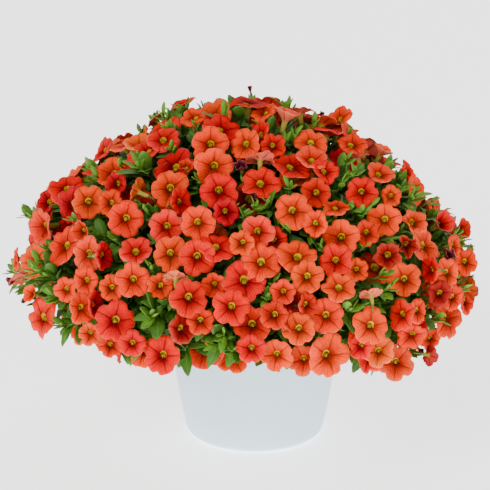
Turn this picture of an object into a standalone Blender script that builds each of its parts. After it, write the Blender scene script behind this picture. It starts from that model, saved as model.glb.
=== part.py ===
"""A calibrachoa in flower, planted in a round tapered pot. Metres, +Z up, origin at the middle of the pot's base."""

import math
import random

import bmesh
import bpy
from mathutils import Matrix, Vector
from mathutils.bvhtree import BVHTree

# Pot
POT_HEIGHT = 0.128
POT_BASE_RADIUS = 0.0563
POT_TOP_RADIUS = 0.0764
POT_WALL = 0.0018
POT_FLOOR = 0.0030
POT_FOOT_ROUND = 0.0070
RIM_HEIGHT = 0.0060
RIM_PROUD = 0.0016
POT_STEPS = 40
DRAIN_COUNT = 5
DRAIN_RADIUS = 0.0045
DRAIN_RING = 0.038

# Potting mix and the woody crown of the plant
GAP = 0.0004
SOIL_TOP = 0.113
SOIL_DOME = 0.003
CROWN_FOOT = 0.088
CROWN_TOP = 0.124
CROWN_RADIUS = 0.0105
CROWN_STEPS = 14

# The mound that leaves and flowers fill. Its widest ring is level with the pot's rim
MOUND_RADIUS = 0.183
MOUND_CENTRE_X = -0.008
MOUND_WAIST_Z = 0.140
MOUND_RISE = 0.138
MOUND_DROP = 0.034
MOUND_SKIRT_SHARE = 0.80
MOUND_POWER = 1.5

# Shoots
STEM_COUNT = 10
STEM_RADIUS = 0.0016
STEM_RING = CROWN_RADIUS + 0.0030
STEM_POINTS = 9
SHOOT_RADIUS = 0.0012
SHOOT_SIDES = 6
SHOOT_SEGMENTS = 9
TIP_GAP = 0.0006
LEAF_LENGTH = 0.024
LEAF_HALF_WIDTH = 0.0042
LEAF_HALF_THICK = 0.0004
# Height on the mound of the flower at each shoot's tip, from -1 at the skirt to 1 at the top, tier by tier
SHOOT_TIERS = (
    {"count": 1, "height": 0.96, "start": 40.0},
    {"count": 4, "height": 0.62, "start": 25.0},
    {"count": 6, "height": 0.28, "start": 0.0},
    {"count": 9, "height": -0.22, "start": 20.0},
)

# Flowers
FLOWER_RADIUS = 0.0160
LOBES = 5
SINUS_SHARE = 0.87
PEDICEL_LENGTH = 0.013
FLOWER_DEPTH = 0.0165 + PEDICEL_LENGTH
NUDGE_DEG = 2.0
MOST_NUDGES = 30
SEED = 11


def clear_scene():
    for thing in list(bpy.data.objects):
        bpy.data.objects.remove(thing)


def material(name, colour, roughness, metallic=0.0):
    made = bpy.data.materials.new(name)
    made.use_nodes = True
    shader = made.node_tree.nodes["Principled BSDF"]
    shader.inputs["Base Color"].default_value = (*colour, 1.0)
    shader.inputs["Roughness"].default_value = roughness
    shader.inputs["Metallic"].default_value = metallic
    return made


def add_object(name, mesh, surface):
    thing = bpy.data.objects.new(name, mesh)
    bpy.context.scene.collection.objects.link(thing)
    mesh.materials.append(surface)
    mesh.shade_smooth()
    mesh.set_sharp_from_angle(angle=math.radians(40))
    return thing


def mesh_from(bm, name):
    bmesh.ops.recalc_face_normals(bm, faces=bm.faces)
    mesh = bpy.data.meshes.new(name)
    bm.to_mesh(mesh)
    bm.free()
    return mesh


def turned(profile, steps, name):
    """A solid of revolution about +Z. The profile is (radius, height) points and starts and ends on the axis."""
    bm = bmesh.new()
    verts = [bm.verts.new((r, 0.0, z)) for r, z in profile]
    edges = [bm.edges.new(pair) for pair in zip(verts, verts[1:])]
    bmesh.ops.spin(
        bm, geom=verts + edges, cent=(0, 0, 0), axis=(0, 0, 1), dvec=(0, 0, 0),
        angle=2 * math.pi, steps=steps, use_merge=True,
    )
    bmesh.ops.remove_doubles(bm, verts=bm.verts, dist=1e-6)
    return mesh_from(bm, name)


def pot_wall_radius(z):
    """Outer radius of the pot's wall at a height."""
    return POT_BASE_RADIUS + (POT_TOP_RADIUS - POT_BASE_RADIUS) * z / POT_HEIGHT


def arc(centre, radius, start_deg, end_deg, count):
    angles = [math.radians(start_deg + (end_deg - start_deg) * i / (count - 1)) for i in range(count)]
    return [(centre[0] + radius * math.cos(a), centre[1] + radius * math.sin(a)) for a in angles]


def build_pot(surface):
    foot = POT_FOOT_ROUND
    lean = math.degrees(math.atan2(POT_TOP_RADIUS - POT_BASE_RADIUS, POT_HEIGHT))
    rim_low = POT_HEIGHT - RIM_HEIGHT
    rim_edge = POT_TOP_RADIUS + RIM_PROUD
    profile = [(0.0, 0.0)]
    profile += arc((POT_BASE_RADIUS - foot, foot), foot, -90, -lean, 5)
    profile += [
        (pot_wall_radius(rim_low), rim_low),
        (pot_wall_radius(rim_low) + RIM_PROUD, rim_low + 0.0012),
        (rim_edge, POT_HEIGHT - 0.0012),
        (rim_edge - 0.0010, POT_HEIGHT),
        (POT_TOP_RADIUS - POT_WALL, POT_HEIGHT - 0.0004),
        (pot_wall_radius(foot) - POT_WALL, foot),
        (pot_wall_radius(foot) - POT_WALL - 0.004, POT_FLOOR),
        (0.0, POT_FLOOR),
    ]
    pot = add_object("pot", turned(profile, POT_STEPS, "pot"), surface)
    for i in range(DRAIN_COUNT):
        angle = 2 * math.pi * i / DRAIN_COUNT
        bm = bmesh.new()
        bmesh.ops.create_cone(
            bm, cap_ends=True, segments=12, radius1=DRAIN_RADIUS, radius2=DRAIN_RADIUS, depth=0.02
        )
        cutter = add_object(f"drain_cutter_{i + 1}", mesh_from(bm, "drain_cutter"), surface)
        cutter.location = (DRAIN_RING * math.cos(angle), DRAIN_RING * math.sin(angle), 0.0)
        cutter.hide_render = True
        cutter.display_type = "WIRE"
        cut = pot.modifiers.new(f"drain_{i + 1}", "BOOLEAN")
        cut.operation = "DIFFERENCE"
        cut.object = cutter
    return pot


def build_soil(surface):
    """Potting mix that fills the pot, with a socket that the crown stands in."""
    side = POT_WALL + GAP
    low = POT_FLOOR + GAP
    socket = CROWN_RADIUS + GAP
    profile = [
        (0.0, low),
        (pot_wall_radius(low) - side - 0.006, low),
        (pot_wall_radius(POT_FOOT_ROUND) - side, POT_FOOT_ROUND + GAP),
        (pot_wall_radius(SOIL_TOP) - side, SOIL_TOP),
        (0.045, SOIL_TOP + SOIL_DOME * 0.7),
        (socket, SOIL_TOP + SOIL_DOME),
        (socket, CROWN_FOOT + 0.008),
        (0.0, CROWN_FOOT - GAP),
    ]
    return add_object("potting_soil", turned(profile, 32, "potting_soil"), surface)


def build_crown(surface):
    profile = [
        (0.0, CROWN_FOOT + GAP),
        (CROWN_RADIUS - 0.0004, CROWN_FOOT + 0.0094),
        (CROWN_RADIUS - 0.0004, SOIL_TOP + SOIL_DOME),
        (CROWN_RADIUS * 1.05, CROWN_TOP - 0.004),
        (CROWN_RADIUS * 0.75, CROWN_TOP - 0.0008),
        (0.0, CROWN_TOP),
    ]
    return add_object("root_crown", turned(profile, CROWN_STEPS, "root_crown"), surface)


def mound_point(azimuth_deg, height):
    """A point of the mound's surface. Azimuth 0 faces -Y, the front, and height runs from -1, skirt, to 1, top."""
    turn = math.radians(azimuth_deg)
    angle = abs(height) * math.pi / 2
    if height >= 0:
        radius = MOUND_RADIUS * math.cos(angle) ** (2 / MOUND_POWER)
        z = MOUND_WAIST_Z + MOUND_RISE * math.sin(angle) ** (2 / MOUND_POWER)
    else:
        radius = MOUND_RADIUS * (MOUND_SKIRT_SHARE + (1 - MOUND_SKIRT_SHARE) * math.cos(angle))
        z = MOUND_WAIST_Z - MOUND_DROP * math.sin(angle)
    return Vector((MOUND_CENTRE_X + radius * math.sin(turn), -radius * math.cos(turn), z))


def outward(azimuth_deg, height):
    """The way that a flower or a tip faces: away from a point low in the mound's middle."""
    heart = Vector((MOUND_CENTRE_X, 0.0, MOUND_WAIST_Z - 0.055))
    return (mound_point(azimuth_deg, height) - heart).normalized()


def bezier(points, count):
    """Points along a cubic Bezier curve."""
    a, b, c, d = points
    steps = [i / (count - 1) for i in range(count)]
    return [
        a * (1 - s) ** 3 + b * 3 * s * (1 - s) ** 2 + c * 3 * s**2 * (1 - s) + d * s**3 for s in steps
    ]


def build_main_stem(number, azimuth_deg, reach, top_z, surface):
    """A bare stem as a bevelled curve, from the crown's shoulder to the fork under the leaves."""
    turn = math.radians(azimuth_deg)
    way = Vector((math.sin(turn), -math.cos(turn), 0.0))
    foot = way * STEM_RING + Vector((0, 0, CROWN_TOP - 0.006))
    fork = way * reach + Vector((0, 0, top_z))
    route = bezier(
        (foot, foot + Vector((0, 0, 0.012)) + way * 0.008, fork - way * reach * 0.45 - Vector((0, 0, 0.002)), fork),
        STEM_POINTS,
    )
    data = bpy.data.curves.new(f"main_stem_{number:02d}", "CURVE")
    data.dimensions = "3D"
    data.bevel_depth = STEM_RADIUS
    data.bevel_resolution = 1
    data.use_fill_caps = True
    spline = data.splines.new("POLY")
    spline.points.add(len(route) - 1)
    for point, place in zip(spline.points, route):
        point.co = (*place, 1.0)
        point.radius = 1.0
    spline.use_smooth = True
    data.materials.append(surface)
    stem = bpy.data.objects.new(data.name, data)
    bpy.context.scene.collection.objects.link(stem)
    return fork


def move_ring(face, centre, side, up, half_width, half_thick):
    """Puts a four-sided face's corners at a leaf's cross-section, in the turn that twists them least."""
    places = [
        centre + side * (half_width * a) + up * (half_thick * b) for a, b in ((-1, -1), (1, -1), (1, 1), (-1, 1))
    ]
    verts = list(face.verts)
    turn = min(
        range(4), key=lambda k: sum((verts[i].co - places[(i + k) % 4]).length for i in range(4))
    )
    for i in range(4):
        verts[i].co = places[(i + turn) % 4]


def grow_leaf(bm, face, way, size):
    """Draws a leaf out of one side of a shoot: narrow foot, broad middle, pointed tip that lifts a little."""
    way = way.normalized()
    lift = Vector((0, 0, 1)) - way * way.z
    lift = lift.normalized() if lift.length > 0.2 else way.orthogonal().normalized()
    side = lift.cross(way).normalized()
    foot = face.calc_center_median()
    for along, wide in ((0.15, 0.35), (0.52, 1.0), (0.80, 0.72), (1.0, 0.12)):
        face = bmesh.ops.extrude_discrete_faces(bm, faces=[face])["faces"][0]
        centre = foot + way * (LEAF_LENGTH * size * along) + lift * (0.004 * size * along**2)
        move_ring(face, centre, side, lift, LEAF_HALF_WIDTH * size * wide, LEAF_HALF_THICK * (1.4 - along))


def build_shoot(name, start, tip, out, dice, surface):
    """A leafy shoot: a tapering tube that arches from the fork to its tip, with leaves in turn along it."""
    bend = start.lerp(tip, 0.35) + Vector((0, 0, 0.010))
    route = bezier((start, bend, tip - out * 0.022, tip), SHOOT_SEGMENTS + 1)
    way = (route[1] - route[0]).normalized()
    length = (route[1] - route[0]).length
    bm = bmesh.new()
    bmesh.ops.create_cone(
        bm, cap_ends=True, segments=SHOOT_SIDES, radius1=SHOOT_RADIUS, radius2=SHOOT_RADIUS, depth=length,
        matrix=Matrix.Translation(route[0].lerp(route[1], 0.5)) @ way.to_track_quat("Z", "Y").to_matrix().to_4x4(),
    )
    cap = max(bm.faces, key=lambda face: face.calc_center_median().dot(way))
    sides = []
    for step in range(2, len(route)):
        known = set(bm.faces)
        cap = bmesh.ops.extrude_discrete_faces(bm, faces=[cap])["faces"][0]
        sides.append([face for face in bm.faces if face not in known and face is not cap])
        ahead = (route[step] - route[step - 1]).normalized()
        bend_round = way.rotation_difference(ahead)
        for vert in cap.verts:
            vert.co = route[step] + (bend_round @ (vert.co - route[step - 1])) * (1 - 0.5 / SHOOT_SEGMENTS)
        way = ahead
    bmesh.ops.recalc_face_normals(bm, faces=bm.faces)
    for step, ring_faces in enumerate(sides[2:]):
        forward = (route[-1] - route[step + 3]).normalized()
        across = forward.cross(out).normalized()
        sign = 1 if step % 2 else -1
        for turn in (sign, -sign) if step > 1 else (sign,):
            aim = (across * turn + forward * 0.45 + out * dice.uniform(0.15, 0.55)).normalized()
            side = max(ring_faces, key=lambda face: face.normal.dot(across * turn + out * 0.2))
            ring_faces.remove(side)
            grow_leaf(bm, side, aim, dice.uniform(0.75, 1.05) * (1.0 - 0.06 * step))
    return add_object(name, mesh_from(bm, name), surface)


FLOWER_PROFILE = (
    (0.0, -FLOWER_DEPTH),
    (0.0009, -FLOWER_DEPTH),
    (0.0009, -0.0165),
    (0.0026, -0.0150),
    (0.0022, -0.0080),
    (0.0055, -0.0030),
    (FLOWER_RADIUS * 0.97, 0.0004),
    (FLOWER_RADIUS, 0.0013),
    (0.0045, -0.0014),
    (0.0016, -0.0068),
    (0.0, -0.0076),
)


def flower_mesh(name, size):
    """Pedicel, tube and a five-lobed face that looks along +Z, in one closed body."""
    mesh = turned([(r * size, z * size) for r, z in FLOWER_PROFILE], 2 * LOBES, name)
    for vert in mesh.vertices:
        radius = math.hypot(vert.co.x, vert.co.y)
        if radius < FLOWER_RADIUS * size * 0.9:
            continue
        turn = math.atan2(vert.co.y, vert.co.x) % (2 * math.pi / LOBES)
        in_sinus = abs(turn - math.pi / LOBES) < 0.1
        if in_sinus:
            vert.co.x *= SINUS_SHARE
            vert.co.y *= SINUS_SHARE
            vert.co.z += 0.0012 * size
    return mesh


def tree_of(mesh, matrix):
    points = [matrix @ v.co for v in mesh.vertices]
    return BVHTree.FromPolygons(points, [p.vertices for p in mesh.polygons])


def evaluated_tree(thing):
    graph = bpy.context.evaluated_depsgraph_get()
    found = thing.evaluated_get(graph)
    tree = tree_of(found.to_mesh(), found.matrix_world)
    found.to_mesh_clear()
    return tree


def seat_flower(name, size, roll, facing, place, surface):
    flower = add_object(name, flower_mesh(name, size), surface)
    turn = facing.to_track_quat("Z", "Y").to_matrix().to_4x4() @ Matrix.Rotation(roll, 4, "Z")
    flower.matrix_world = Matrix.Translation(place) @ turn
    return flower


def build_stems(surface):
    """Bare stems fan out from the crown. The list holds each fork's azimuth, whether it's steep, and its place."""
    forks = []
    for k in range(STEM_COUNT):
        steep = k % 3 == 1
        azimuth = 18.0 + 360.0 * k / STEM_COUNT
        reach, top = (0.030, 0.168) if steep else (0.062, 0.147)
        forks.append((azimuth, steep, build_main_stem(k + 1, azimuth, reach, top, surface)))
    return forks


def build_branch(number, fork, sign, azimuth_deg, height, leaf_surface, petal_surface):
    """A leafy shoot from a fork to the mound's surface, and the flower at its tip."""
    dice = random.Random(SEED + number)
    out = outward(azimuth_deg, height)
    size = dice.uniform(0.92, 1.06)
    lean = Vector((dice.uniform(-0.15, 0.15), dice.uniform(-0.15, 0.15), dice.uniform(-0.08, 0.15)))
    facing = (out + lean).normalized()
    place = mound_point(azimuth_deg, height)
    flower = seat_flower(f"flower_{number:02d}", size, dice.uniform(0, 6.28), facing, place, petal_surface)
    tip = place - facing * (FLOWER_DEPTH * size + TIP_GAP)
    way = (tip - fork).normalized()
    side = way.cross(Vector((0, 0, 1))).normalized() * 0.0022 * sign
    shoot = build_shoot(
        f"leafy_shoot_{number:02d}", fork + way * 0.0026 + side, tip, facing, dice, leaf_surface
    )
    return shoot, flower


def build_branches(forks, taken, leaf_surface, petal_surface):
    """Two branches on each fork. A branch that would touch another one swings round by small steps first."""
    spots = []
    for tier in SHOOT_TIERS:
        for i in range(tier["count"]):
            spots.append((tier["start"] + 360.0 * i / tier["count"], tier["height"]))
    free = {k: 2 for k in range(STEM_COUNT)}
    for number, (azimuth, height) in enumerate(spots, 1):
        wants_steep = height > 0.5

        def distance(k):
            apart = abs((forks[k][0] - azimuth + 180) % 360 - 180)
            return apart + (0 if forks[k][1] == wants_steep else 60)

        nearest = min((k for k in free if free[k]), key=distance)
        free[nearest] -= 1
        sign = 1 if free[nearest] else -1
        for nudge in range(MOST_NUDGES):
            swing = NUDGE_DEG * ((nudge + 1) // 2) * (1 if nudge % 2 else -1)
            made = build_branch(
                number, forks[nearest][2], sign, azimuth + swing, height, leaf_surface, petal_surface
            )
            bpy.context.view_layer.update()
            trees = [tree_of(thing.data, thing.matrix_world) for thing in made]
            if not any(tree.overlap(other) for tree in trees for other in taken):
                break
            for thing in made:
                bpy.data.objects.remove(thing)
        taken.extend(trees)


def main():
    clear_scene()
    plastic = material("pot_white", (0.80, 0.86, 0.88), 0.45)
    peat = material("soil_brown", (0.045, 0.028, 0.018), 0.95)
    bark = material("crown_bark", (0.20, 0.16, 0.08), 0.85)
    stem_green = material("stem_green", (0.16, 0.24, 0.05), 0.6)
    leaf_green = material("leaf_green", (0.10, 0.25, 0.035), 0.5)
    coral = material("petal_coral", (0.86, 0.10, 0.045), 0.55)
    build_pot(plastic)
    build_soil(peat)
    build_crown(bark)
    forks = build_stems(stem_green)
    bpy.context.view_layer.update()
    taken = [evaluated_tree(thing) for thing in bpy.data.objects if not thing.hide_render]
    build_branches(forks, taken, leaf_green, coral)


main()
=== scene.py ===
"""Calibrachoa in full flower in a plain pale pot, on a pale floor in soft daylight.

The blooms, buds and leafy shoots that the photograph shows stand where it shows them. The sides and the
back are filled in at the same density, round the stems, the potting mix and the pot.
"""

import math
import random
from collections import namedtuple

import bmesh
import bpy
from mathutils import Matrix, Quaternion, Vector, noise
from mathutils.kdtree import KDTree


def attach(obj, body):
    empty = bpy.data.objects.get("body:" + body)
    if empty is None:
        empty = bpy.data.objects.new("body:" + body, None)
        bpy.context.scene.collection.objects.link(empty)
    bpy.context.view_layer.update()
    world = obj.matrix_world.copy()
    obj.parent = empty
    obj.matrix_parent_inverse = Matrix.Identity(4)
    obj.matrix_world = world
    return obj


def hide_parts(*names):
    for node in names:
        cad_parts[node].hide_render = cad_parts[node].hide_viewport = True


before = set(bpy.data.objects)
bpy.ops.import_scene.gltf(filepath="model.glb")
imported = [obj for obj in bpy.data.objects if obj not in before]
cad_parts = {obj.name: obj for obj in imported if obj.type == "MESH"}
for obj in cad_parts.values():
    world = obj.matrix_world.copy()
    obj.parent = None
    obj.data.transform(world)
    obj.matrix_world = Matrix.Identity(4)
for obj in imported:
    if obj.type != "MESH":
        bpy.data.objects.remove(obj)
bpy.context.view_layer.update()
CAD_FLOWERS = 20
CAD_STEMS = 10
MM = 0.001

# The photograph's camera
IMAGE_PIXELS = 490
FOCAL_PIXELS = 2500.0
SENSOR_WIDTH = 36.0
CAMERA_TILT = math.radians(18.6)
CAMERA_DISTANCE = 2.0
CAMERA_TARGET = Vector((-0.00795, 0.0, 0.15765))

# The mound that the plant fills. Its section is fuller below the waist, where the power is higher.
MOUND_CENTRE = Vector((-0.008, 0.0, 0.140))
MOUND_RADIUS = 0.183
MOUND_RISE = 0.136
MOUND_DROP = 0.060
MOUND_POWER = 1.6
SKIRT_POWER = 2.2
SKIRT_LOW = 0.094
HEART = Vector((-0.008, 0.0, 0.085))

# Where along a pixel's ray the mound is looked for
RAY_START = CAMERA_DISTANCE - 0.24
RAY_STEP = 0.0018
RAY_STEPS = 260

# A place outside the plant's edge is drawn in by this share of its way to the heart, at most so often
TUCK_SHARE = 0.03
TUCK_STEPS = 16

# A bloom that is 32 mm across, in millimetres
BLOOM_RADIUS = 16.0
TUBE_LENGTH = 16.0
LOBES = 5
COLUMNS_PER_LOBE = 6
BLOOM_DEPTH = 29.5
PETAL_THICK = 0.22
THROAT_RADIUS = 2.7
LIMB_STEPS = (0.07, 0.10, 0.17, 0.23, 0.25, 0.18)
LIMB_STRETCH = 1.07
POLLEN_RADIUS = 2.45
POLLEN_HEIGHT = -4.3

# The same bloom in the CAD, in metres
CAD_BLOOM_DEPTH = 0.0295
CAD_BLOOM_LENGTH = 0.0320

# How many blooms and leafy shoots fill the rest of the mound, and how far apart they stand, in metres
SIDE_BLOOMS = 170
SIDE_BLOOMS_APART = 0.0235
DEEP_BLOOMS = 74
DEEP_BLOOMS_APART = 0.027
DEEP_APART_IN_VIEW = 0.025
SIDE_SPRAYS = 150
SIDE_SPRAYS_APART = 0.016
APART_IN_VIEW = 0.027
SEED = 5

# How far the mound's skin faces the photograph's camera, from 0 edge on to 1: past HALF_SHOWN it is in
# the photograph, and past FULLY_SHOWN its blooms come from the tables alone
HALF_SHOWN = 0.30
FULLY_SHOWN = 0.60

# In the photograph's pixels: a CAD flower takes the place of a bloom this near to it, deep blooms keep
# clear of the shoots' tips, and what fills the mound stands this far inside the plant's edge
OWN_FLOWER_REACH = 20
SPRAY_REACH = 16
SIDE_MARGIN = 8
DEEP_MARGIN = 14
SPRAY_MARGIN = 4

# The largest bloom's size, how many millimetres long a spent bloom of size 1 is, and the photograph's scale
LARGEST_BLOOM = 1.3
SPENT_LENGTH = 24
MM_PER_PIXEL = 0.8

SIDE_COLOURS = ["coral"] * 8 + ["shaded_orange"] * 4 + ["pink"] * 4 + ["red"] * 3 + ["crimson", "peach"]
# Blooms deep in the mound draw the orange tone twice, a tone that is darker partly as painted shade
DEEP_COLOURS = ("shaded_orange", "shaded_orange", "red", "coral", "crimson", "dusky")
SIDE_OPENNESS = (1.0, 1.0, 1.0, 1.0, 0.9, 0.85, 0.65)

# Stalks and leaves, in metres
STALK_RADIUS = 0.0008
SHOOT_RADIUS = 0.0011
SHOOT_TIP_RADIUS = 0.0007
SPRAY_TIP_RADIUS = 0.0006
LEAF_THICK = 0.00028
LEAF_PROBES = (0.006, 0.012, 0.018)
GOLDEN_ANGLE = 137.5

# Leaves along a bloom's shoot and along a spray: bare share, how many, and where the young ones begin
SHOOT_LEAVES = (0.42, 17, 0.93)
SPRAY_LEAVES = (0.45, 19, 0.86)
SPRAY_LENGTH = 0.021
METRES_PER_PIXEL = 0.0008

# The space before a bloom's face that leaves keep clear, in metres: narrower past NEAR_FACE
BEHIND_FACE = -0.004
NEAR_FACE = 0.012
BEFORE_FACE = 0.028
FACE_SEARCH = 0.030

# Leaves by age: name, length and width in metres, droop, gutter, wave
LEAVES = {
    "young": (
        ("young_flat", 0.0150, 0.0064, -0.10, 0.25, 0.05),
        ("young_bent", 0.0160, 0.0058, 0.16, 0.35, -0.10),
        ("young_narrow", 0.0125, 0.0040, -0.22, 0.30, 0.08),
    ),
    "grown": (
        ("grown_flat", 0.0190, 0.0092, 0.10, 0.22, 0.06),
        ("grown_bent", 0.0195, 0.0086, 0.30, 0.30, -0.08),
        ("grown_lifted", 0.0180, 0.0080, -0.16, 0.32, 0.10),
    ),
    "inner": (
        ("inner_flat", 0.0230, 0.0115, 0.12, 0.0, 0.05),
        ("inner_bent", 0.0225, 0.0105, 0.24, 0.0, -0.06),
    ),
}

# The pot's wall, and the outline of its rolled rim and its inside, as (radius, height) in metres
POT_HEIGHT = 0.128
POT_FOOT_RADIUS = 0.0563
POT_FLARE = 0.0201
POT_FOOT_ROUND = 0.0070
POT_RIM_AND_INSIDE = [
    (0.0765, 0.1224), (0.0776, 0.1232), (0.0779, 0.1250), (0.0779, 0.1266), (0.0775, 0.1276),
    (0.0764, 0.1280), (0.0750, 0.1278), (0.0744, 0.1266), (0.0732, 0.120), (0.0555, 0.0080),
    (0.0530, 0.0042), (0.0500, 0.0030), (0.0, 0.0030),
]
DRAIN_HOLES = 5
DRAIN_HOLE_RADIUS = 0.0045
DRAIN_RING_RADIUS = 0.038

# The top of the potting mix, from the crown's socket to the pot's wall
SOIL_TOP = [
    (0.0112, 0.1140), (0.018, 0.1150), (0.030, 0.1147), (0.045, 0.1142), (0.058, 0.1136), (0.0708, 0.1130),
]

# The plant's edge in the photograph, in pixels: a row's left and right ends
EDGE_ROWS = (
    (90, 180, 340), (105, 172, 346), (120, 142, 353), (135, 137, 360), (150, 98, 380), (165, 92, 402),
    (180, 51, 413), (195, 36, 427), (210, 28, 436), (225, 30, 457), (240, 28, 465), (255, 17, 476),
    (270, 10, 477), (285, 10, 469), (300, 30, 468), (315, 64, 468), (330, 76, 453), (345, 90, 440),
    (380, 130, 434),
)

# The same edge: a column's top and bottom
EDGE_COLUMNS = (
    (10, 262, 288), (25, 217, 290), (55, 176, 303), (85, 160, 340), (115, 137, 346), (145, 117, 369),
    (175, 99, 366), (205, 104, 342), (235, 98, 346), (265, 98, 356), (295, 101, 370), (325, 100, 366),
    (355, 120, 364), (385, 155, 380), (415, 183, 374), (445, 212, 345), (475, 250, 302),
)

# What each letter in the tables stands for
COLOURS = {
    "c": "coral", "r": "red", "o": "shaded_orange", "p": "pink", "k": "crimson", "h": "peach", "d": "dusky",
    "w": "withered",
}

# Blooms read from the photograph: pixel x, pixel y, pixels across, turn right, turn up, colour, openness.
# The turns are in degrees from facing the camera.
FRONT_BLOOMS = (
    (210, 145, 37, -5, 5, "c", 1.0), (214, 167, 39, 5, -5, "r", 1.0), (219, 191, 38, 0, 8, "c", 1.0),
    (170, 189, 38, -8, 5, "o", 1.0), (198, 223, 36, -5, 0, "c", 1.0), (125, 219, 37, -10, 0, "c", 1.0),
    (88, 202, 34, -15, 5, "o", 1.0), (66, 188, 37, -20, 44, "c", 0.95), (48, 202, 25, -40, 20, "k", 0.7),
    (116, 184, 30, -42, 5, "k", 0.9), (163, 139, 36, -10, 46, "p", 0.9), (194, 117, 31, -25, 55, "c", 0.9),
    (183, 104, 27, -60, 62, "p", 0.8), (156, 120, 22, -110, 45, "p", 0.8),
    (103, 150, 28, -65, 30, "p", 0.8), (181, 202, 30, 45, 10, "c", 0.95), (166, 227, 36, -8, 0, "p", 1.0),
    (83, 231, 20, -40, 0, "k", 0.6), (110, 203, 30, -30, 10, "o", 0.9), (226, 212, 28, 10, 0, "k", 0.8),
    (137, 192, 30, -120, 20, "o", 0.9), (245, 144, 34, -30, 25, "c", 1.0),
    (259, 135, 32, -48, 20, "c", 0.9), (273, 146, 27, 10, 10, "o", 0.9), (264, 112, 29, -30, 55, "c", 0.9),
    (286, 118, 26, 60, 75, "p", 0.5), (300, 112, 29, 40, 100, "p", 0.8), (311, 142, 33, 5, 42, "c", 1.0),
    (338, 120, 34, -50, 25, "c", 0.9), (287, 171, 32, 0, 44, "r", 0.95), (312, 160, 31, 15, 48, "p", 0.7),
    (261, 183, 38, 0, 36, "c", 1.0), (325, 171, 28, 20, 35, "c", 0.8), (316, 193, 31, 10, 10, "o", 1.0),
    (293, 211, 37, 0, 12, "c", 1.0), (315, 224, 30, -30, 0, "c", 0.9), (258, 232, 34, -5, 0, "p", 1.0),
    (260, 158, 31, 0, 115, "p", 0.9), (290, 151, 25, 10, 110, "p", 0.8), (352, 144, 33, 15, 48, "c", 0.9),
    (362, 192, 32, 5, 10, "c", 1.0), (380, 174, 28, 25, 40, "p", 0.7), (385, 220, 34, 10, 5, "c", 1.0),
    (341, 238, 37, 0, 0, "c", 1.0), (367, 233, 28, 20, 0, "o", 0.9), (358, 157, 23, 40, 100, "p", 0.8),
    (381, 153, 20, 70, 60, "p", 0.5), (408, 172, 26, 68, 20, "c", 0.8), (416, 190, 36, 62, 10, "c", 0.9),
    (440, 224, 24, 40, 20, "p", 0.4), (391, 196, 22, 20, 10, "c", 0.8), (336, 207, 28, 10, 60, "o", 0.9),
    (460, 229, 20, 55, 0, "k", 0.5), (55, 242, 32, -20, 5, "o", 1.0), (68, 256, 24, -40, 0, "o", 0.8),
    (87, 254, 36, -36, 0, "p", 1.0), (104, 256, 31, 55, 0, "r", 0.9), (136, 251, 34, -5, 36, "p", 0.8),
    (170, 254, 36, -15, 0, "o", 1.0), (197, 257, 37, 0, 0, "c", 1.0), (133, 280, 34, -5, 0, "c", 1.0),
    (160, 286, 28, 0, 5, "o", 0.9), (111, 288, 28, -20, 0, "o", 0.9), (85, 281, 32, -35, 0, "c", 0.9),
    (66, 290, 26, -30, -10, "r", 0.8), (82, 308, 32, 40, 0, "c", 0.95), (95, 305, 31, 60, 0, "r", 0.8),
    (115, 321, 40, 0, 0, "c", 1.0), (132, 344, 29, -5, -12, "r", 0.9), (158, 351, 41, 0, -12, "c", 1.0),
    (182, 329, 34, 42, 0, "d", 0.9), (189, 298, 38, 5, 0, "o", 1.0), (90, 334, 26, -20, -15, "h", 0.9),
    (110, 346, 26, -10, -15, "o", 0.9), (17, 259, 24, -80, 0, "c", 0.8), (33, 294, 18, -50, 10, "c", 0.5),
    (176, 277, 26, 0, 120, "p", 0.9), (216, 246, 38, 5, 44, "c", 1.0), (261, 262, 40, 0, 22, "c", 1.0),
    (297, 256, 41, 5, 36, "c", 1.0), (274, 240, 27, 10, 10, "k", 0.8), (242, 243, 26, -10, 0, "o", 0.8),
    (241, 277, 36, -15, 0, "c", 1.0), (231, 307, 37, 0, 0, "c", 1.0), (214, 285, 27, -15, -5, "o", 0.9),
    (336, 261, 34, 0, 5, "c", 1.0), (307, 277, 33, 5, 0, "o", 1.0), (283, 292, 26, 0, 0, "r", 0.8),
    (258, 291, 28, 5, 50, "r", 0.8), (274, 315, 29, -10, 0, "k", 0.8), (291, 322, 24, 55, 0, "k", 0.8),
    (252, 325, 38, -5, 0, "o", 1.0), (307, 305, 26, 45, 0, "k", 0.8), (326, 316, 37, 5, 0, "c", 1.0),
    (299, 329, 33, 0, 0, "o", 1.0), (326, 341, 34, 0, -8, "h", 1.0), (277, 355, 32, -5, -10, "c", 1.0),
    (304, 360, 32, 0, -15, "h", 1.0), (251, 349, 31, -10, -10, "r", 0.9), (200, 321, 30, -5, -5, "o", 0.9),
    (339, 287, 34, 5, 40, "c", 1.0), (357, 270, 24, 20, 0, "o", 0.8), (405, 280, 34, 15, 0, "o", 1.0),
    (430, 270, 29, -50, 0, "c", 0.9), (448, 273, 31, 44, 0, "c", 0.95), (466, 262, 29, 30, 5, "c", 0.9),
    (454, 246, 24, 60, 5, "r", 0.8), (371, 293, 26, 10, 110, "p", 0.9), (371, 326, 38, 20, 0, "c", 1.0),
    (401, 315, 32, -40, 0, "c", 0.95), (418, 311, 28, 48, 0, "c", 0.9), (440, 294, 30, 30, -15, "d", 0.9),
    (453, 298, 30, 40, -10, "c", 0.9), (439, 307, 26, 60, -20, "c", 0.8), (466, 302, 28, 62, 0, "c", 0.9),
    (445, 329, 29, 55, -10, "c", 0.9), (412, 336, 32, 10, -35, "c", 0.9),
    (431, 339, 26, 30, -20, "h", 0.9), (379, 352, 32, 10, -15, "h", 1.0), (396, 363, 36, 5, -15, "h", 1.0),
    (360, 347, 26, -30, -20, "c", 0.8), (348, 359, 26, -10, -60, "h", 0.8),
    (430, 355, 22, 130, -10, "k", 0.8), (470, 289, 24, 120, 10, "o", 0.8),
)

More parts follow.
